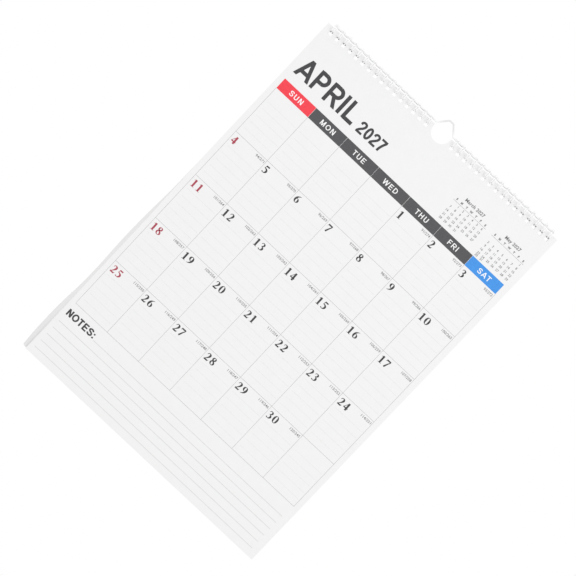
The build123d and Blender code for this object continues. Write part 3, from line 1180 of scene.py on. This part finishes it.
def build_camera():
    """The camera where the photograph was taken from. It is rolled, so the calendar leans clockwise."""
    target_x = -5.14 * MM
    target_drop = 212.93 * MM
    distance = 1322.64 * MM
    azimuth = math.radians(-1.415)
    elevation = math.radians(2.542)
    roll = math.radians(43.42)
    level = math.cos(elevation)
    back = Vector((math.sin(azimuth) * level, -math.cos(azimuth) * level, math.sin(elevation)))
    lens = bpy.data.cameras.new("camera")
    lens.lens = 85
    lens.sensor_width = 36
    camera = bpy.data.objects.new("camera", lens)
    camera.location = Vector((target_x, FACE_Y, SHEET_TOP - target_drop)) + back * distance
    camera.rotation_mode = "QUATERNION"
    camera.rotation_quaternion = (-back).to_track_quat("-Z", "Y") @ Quaternion((0, 0, 1), roll)
    bpy.context.scene.collection.objects.link(camera)
    bpy.context.scene.camera = camera


def build_stage():
    """What surrounds the calendar: the floor, the light and the camera."""
    bpy.context.scene.view_settings.view_transform = "Standard"
    build_floor()
    build_world()
    build_softboxes()
    build_camera()


class CALENDAR_OT_sheets(bpy.types.Operator):
    """Build the month sheet and the leaves behind it"""

    bl_idname = "calendar.sheets"
    bl_label = "Sheets"

    def execute(self, context):
        build_sheets(context.scene.calendar_sheets, context.scene.calendar_wires)
        return {"FINISHED"}


class CALENDAR_OT_wire_loops(bpy.types.Operator):
    """Build the two combs of twin wire loops"""

    bl_idname = "calendar.wire_loops"
    bl_label = "Wire Loops"

    def execute(self, context):
        build_wire_loops(context.scene.calendar_wires)
        return {"FINISHED"}


class CALENDAR_OT_hanger(bpy.types.Operator):
    """Build the wire hanger with its hook"""

    bl_idname = "calendar.hanger"
    bl_label = "Hanger"

    def execute(self, context):
        build_hanger(context.scene.calendar_wires)
        return {"FINISHED"}


class CALENDAR_OT_weekday_bar(bpy.types.Operator):
    """Print the coloured weekday bar and its names"""

    bl_idname = "calendar.weekday_bar"
    bl_label = "Weekday Bar"

    def execute(self, context):
        build_weekday_bar(context.scene.calendar_print)
        return {"FINISHED"}


class CALENDAR_OT_title(bpy.types.Operator):
    """Print the month's name and the year"""

    bl_idname = "calendar.title"
    bl_label = "Title"

    def execute(self, context):
        build_title(context.scene.calendar_print)
        return {"FINISHED"}


class CALENDAR_OT_days(bpy.types.Operator):
    """Print the day numbers and the day counts"""

    bl_idname = "calendar.days"
    bl_label = "Days"

    def execute(self, context):
        build_days(context.scene.calendar_print)
        return {"FINISHED"}


class CALENDAR_OT_rulings(bpy.types.Operator):
    """Print the grid, the writing rules and the lines for notes"""

    bl_idname = "calendar.rulings"
    bl_label = "Rulings"

    def execute(self, context):
        build_grid(context.scene.calendar_print)
        build_cell_rules(context.scene.calendar_print)
        build_note_lines(context.scene.calendar_print)
        return {"FINISHED"}


class CALENDAR_OT_notes_heading(bpy.types.Operator):
    """Print the heading over the lines for notes"""

    bl_idname = "calendar.notes_heading"
    bl_label = "Notes Heading"

    def execute(self, context):
        build_notes_heading(context.scene.calendar_print)
        return {"FINISHED"}


class CALENDAR_OT_small_months(bpy.types.Operator):
    """Print the small tables of the months before and after"""

    bl_idname = "calendar.small_months"
    bl_label = "Small Months"

    def execute(self, context):
        build_small_months(context.scene.calendar_print)
        return {"FINISHED"}


class CALENDAR_OT_stage(bpy.types.Operator):
    """Set up the floor, the light and the camera"""

    bl_idname = "calendar.stage"
    bl_label = "Stage"

    def execute(self, context):
        build_stage()
        return {"FINISHED"}


OPERATORS = [
    CALENDAR_OT_sheets,
    CALENDAR_OT_wire_loops,
    CALENDAR_OT_hanger,
    CALENDAR_OT_weekday_bar,
    CALENDAR_OT_title,
    CALENDAR_OT_days,
    CALENDAR_OT_rulings,
    CALENDAR_OT_notes_heading,
    CALENDAR_OT_small_months,
    CALENDAR_OT_stage,
]
SETTINGS = {
    "calendar_sheets": CalendarSheetSettings,
    "calendar_wires": CalendarWireSettings,
    "calendar_print": CalendarPrintSettings,
}


class CALENDAR_PT_sidebar(bpy.types.Panel):
    """The calendar's pieces, in the order in which they are built"""

    bl_idname = "CALENDAR_PT_sidebar"
    bl_label = "Wall Calendar"
    bl_space_type = "VIEW_3D"
    bl_region_type = "UI"
    bl_category = "Calendar"

    def draw(self, context):
        for name, settings in SETTINGS.items():
            box = self.layout.box()
            for setting in settings.__annotations__:
                box.prop(getattr(context.scene, name), setting)
        for operator in OPERATORS:
            self.layout.operator(operator.bl_idname)


def register():
    """Makes the settings, the operators and the panel known to Blender."""
    for group in SETTINGS.values():
        bpy.utils.register_class(group)
    for name, group in SETTINGS.items():
        setattr(bpy.types.Scene, name, bpy.props.PointerProperty(type=group))
    for operator in OPERATORS:
        bpy.utils.register_class(operator)
    bpy.utils.register_class(CALENDAR_PT_sidebar)


def unregister():
    """Takes the panel, the operators and the settings out of Blender again."""
    bpy.utils.unregister_class(CALENDAR_PT_sidebar)
    for operator in reversed(OPERATORS):
        bpy.utils.unregister_class(operator)
    for name, group in SETTINGS.items():
        delattr(bpy.types.Scene, name)
        bpy.utils.unregister_class(group)


def main():
    """Builds the whole calendar."""
    register()
    bpy.ops.calendar.sheets()
    bpy.ops.calendar.wire_loops()
    bpy.ops.calendar.hanger()
    bpy.ops.calendar.weekday_bar()
    bpy.ops.calendar.title()
    bpy.ops.calendar.days()
    bpy.ops.calendar.rulings()
    bpy.ops.calendar.notes_heading()
    bpy.ops.calendar.small_months()
    bpy.ops.calendar.stage()


if __name__ == "__main__":
    main()
